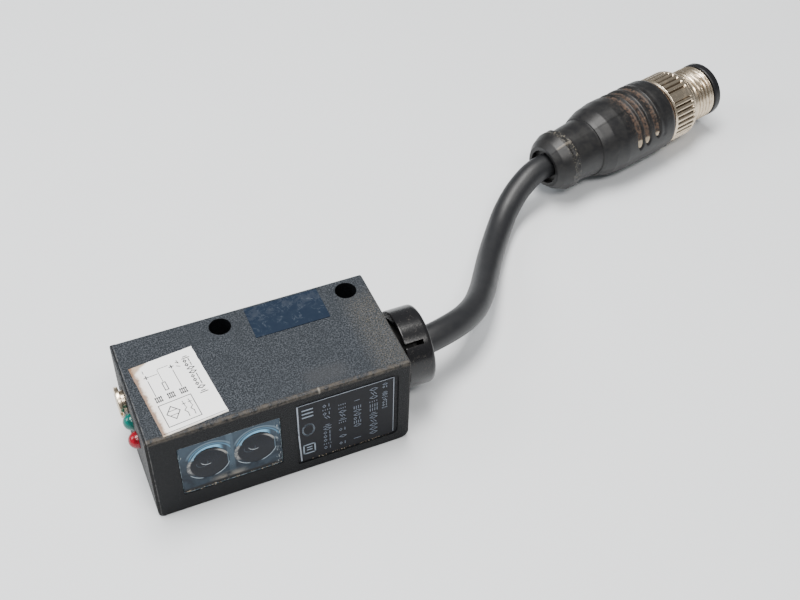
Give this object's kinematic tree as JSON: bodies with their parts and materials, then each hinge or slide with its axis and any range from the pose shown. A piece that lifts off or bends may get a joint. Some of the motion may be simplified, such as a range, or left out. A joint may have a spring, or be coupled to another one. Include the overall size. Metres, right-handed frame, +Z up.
{
  "type": "photoelectric sensor",
  "caption": "Box-shaped photoelectric sensor with a lens window in one side, indicator lamps and a sensitivity adjuster on one end, and a short cable to a threaded plug.",
  "frame": {"origin": "centre of the housing's underside, the wide side it lies on", "axes": "+X along the housing towards its cable gland, -Y the way the lenses look, +Z up, out of the labelled top"},
  "size_m": [0.147, 0.0661, 0.02],
  "materials": {
    "black_plastic": "fine matt grain, worn",
    "gland_black": "smooth moulded plastic",
    "grip_black": "moulded soft plastic with a dull sheen",
    "cable_black": "matt cable jacket",
    "rubber_black": "matt",
    "clear_plastic": "clear, scratched",
    "plate_black": "printed film",
    "paper": "printed label",
    "film_dark": "smooth film",
    "nickel": "nickel plated",
    "tin": "tinned sheet",
    "gold_contact": "gold flashed",
    "led_red": "tinted clear resin",
    "led_green": "tinted clear resin",
    "board_green": "solder-masked circuit board",
    "emitter_white": "moulded",
    "chip_black": "moulded",
    "pot_blue": "moulded",
    "wire_brown": "wire insulation",
    "wire_blue": "wire insulation"
  },
  "bodies": {
    "sensor": {"housing": "black_plastic", "end_cover": "black_plastic", "lens_plate": "clear_plastic", "optics_holder": "black_plastic", "emitter_led": "emitter_white", "receiver_photodiode": "chip_black", "main_board": "board_green", "end_board": "board_green", "controller_chip": "chip_black", "output_transistor": "chip_black", "protection_diode": "chip_black", "capacitor": "tin", "shield_can": "tin", "red_led": "led_red", "green_led": "led_green", "potentiometer": "pot_blue", "adjuster_seal": "rubber_black", "rating_plate": "plate_black", "wiring_label": "paper", "film_patch": "film_dark", "gland_cap": "gland_black", "cable_seal": "rubber_black", "cable_tail": "cable_black", "wire_brown": "wire_brown", "wire_black": "chip_black", "wire_blue": "wire_blue", "cable": "cable_black", "plug_grip": "grip_black", "contact_carrier": "gland_black", "contact_pin_1": "gold_contact", "contact_pin_2": "gold_contact", "contact_pin_3": "gold_contact", "contact_pin_4": "gold_contact"},
    "adjuster": {"adjuster_screw": "nickel"},
    "coupling": {"coupling_screw": "nickel", "end_ring": "rubber_black"}
  },
  "joints": [
    {"name": "adjuster_turn", "type": "hinge", "parent": "sensor", "child": "adjuster", "pos_m": [-0.0232, 0.0053, 0.012], "axis": [1, 0, 0], "range_deg": [-135, 135]},
    {"name": "coupling_turn", "type": "hinge", "parent": "sensor", "child": "coupling", "pos_m": [0.10946, 0.04609, 0.00815], "axis": [0.9711, 0.2385, 0], "continuous": true}
  ]
}
